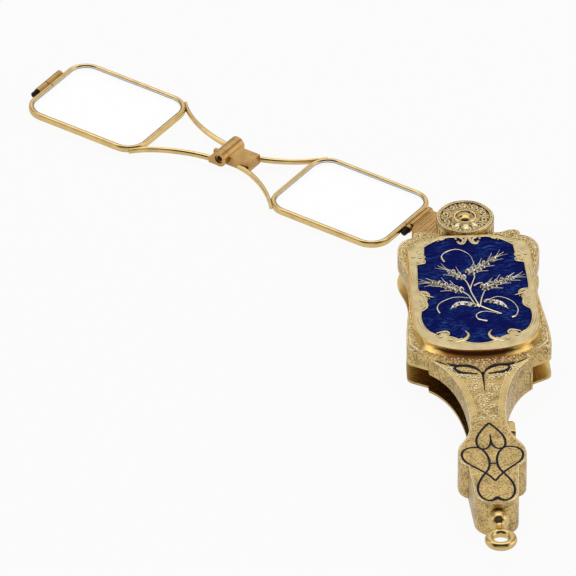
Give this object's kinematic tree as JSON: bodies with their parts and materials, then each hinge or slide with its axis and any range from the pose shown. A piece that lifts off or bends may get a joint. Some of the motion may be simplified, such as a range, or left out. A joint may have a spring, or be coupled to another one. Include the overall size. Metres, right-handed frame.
{
  "type": "folding lorgnette",
  "caption": "Folding lorgnette: a slotted case with an enamelled plaque and a waisted stem, a pivot drum at its head, and two hinged lenses that fold together and swing into the slot.",
  "frame": {"origin": "main pivot axis where it meets the underside of the back plate", "axes": "+Z out of the enamelled front, -Y along the handle towards the chain ring, +X to the right; the open lenses point at 142.3 degrees from +X"},
  "size_m": [0.0983, 0.1759, 0.0097],
  "materials": {
    "yellow_gold": "polished and engraved yellow gold",
    "lens_gold": "polished gold wire",
    "hinge_gold": "darker polished gold alloy",
    "blue_enamel": "translucent blue enamel over engine turning",
    "dark_enamel": "blue-black enamel lines",
    "diamond": "rose-cut stones",
    "lens_glass": "clear polished",
    "steel": "spring steel",
    "dark_steel": "dark small screws"
  },
  "bodies": {
    "case": {"back_plate": "yellow_gold", "liner_plate": "yellow_gold", "front_cover": "yellow_gold", "stem_spacer": "yellow_gold", "stem_block": "yellow_gold", "stem_cover": "yellow_gold", "tracery_inlay": "dark_enamel", "plaque_frame": "yellow_gold", "enamel_panel": "blue_enamel", "wheat_spray": "yellow_gold", "rose_stones": "diamond", "drum_housing": "yellow_gold", "drum_cap": "yellow_gold", "pivot_screw": "hinge_gold", "pivot_post": "hinge_gold", "swing_spring": "steel", "push_spring": "steel", "catch_pin": "hinge_gold", "finial": "yellow_gold", "chain_ring": "yellow_gold"},
    "swing_hub": {"spring_arbor": "hinge_gold"},
    "inner_frame": {"lens_arm": "hinge_gold", "inner_rim": "lens_gold", "inner_lens": "lens_glass", "inner_closing_barrels": "lens_gold", "inner_closing_screw": "dark_steel", "inner_bridge_arms": "lens_gold", "middle_knuckle": "lens_gold", "bridge_spring": "steel"},
    "outer_frame": {"outer_rim": "lens_gold", "outer_lens": "lens_glass", "outer_closing_barrels": "lens_gold", "outer_closing_screw": "dark_steel", "outer_bridge_arms": "lens_gold", "end_knuckles": "lens_gold", "bridge_pin": "dark_steel"},
    "release_button": {"push_piece": "yellow_gold"},
    "catch": {"catch_lever": "steel"}
  },
  "joints": [
    {"name": "main_swing", "type": "hinge", "parent": "case", "child": "swing_hub", "pos_m": [0, 0, 0], "axis": [0, 0, 1], "range_deg": [0, 112], "stiffness_Nm_per_rad": 0.003, "springref_deg": -57.3},
    {"name": "stow_turn", "type": "hinge", "parent": "swing_hub", "child": "inner_frame", "pos_m": [0, 0, 0], "axis": [0, 0, 1], "range_deg": [0, 15.7]},
    {"name": "bridge_fold", "type": "hinge", "parent": "inner_frame", "child": "outer_frame", "pos_m": [-0.04506, 0.03483, 0.0023], "axis": [0.6115, 0.7912, 0], "range_deg": [0, 180], "stiffness_Nm_per_rad": 0.0005, "springref_deg": -28.65},
    {"name": "release_push", "type": "slide", "parent": "case", "child": "release_button", "axis": [-1, 0, 0], "range_m": [0, 0.0007], "stiffness_N_per_m": 200, "springref_m": -0.0002},
    {"name": "catch_turn", "type": "hinge", "parent": "case", "child": "catch", "pos_m": [-0.0025, -0.0611, 0.00237], "axis": [0, 0, 1], "range_deg": [-12, 0]}
  ],
  "couplings": [
    {"joint": "stow_turn", "follows": "bridge_fold", "ratio": 0.0872},
    {"joint": "catch_turn", "follows": "release_push", "rad_per_m": -292}
  ]
}
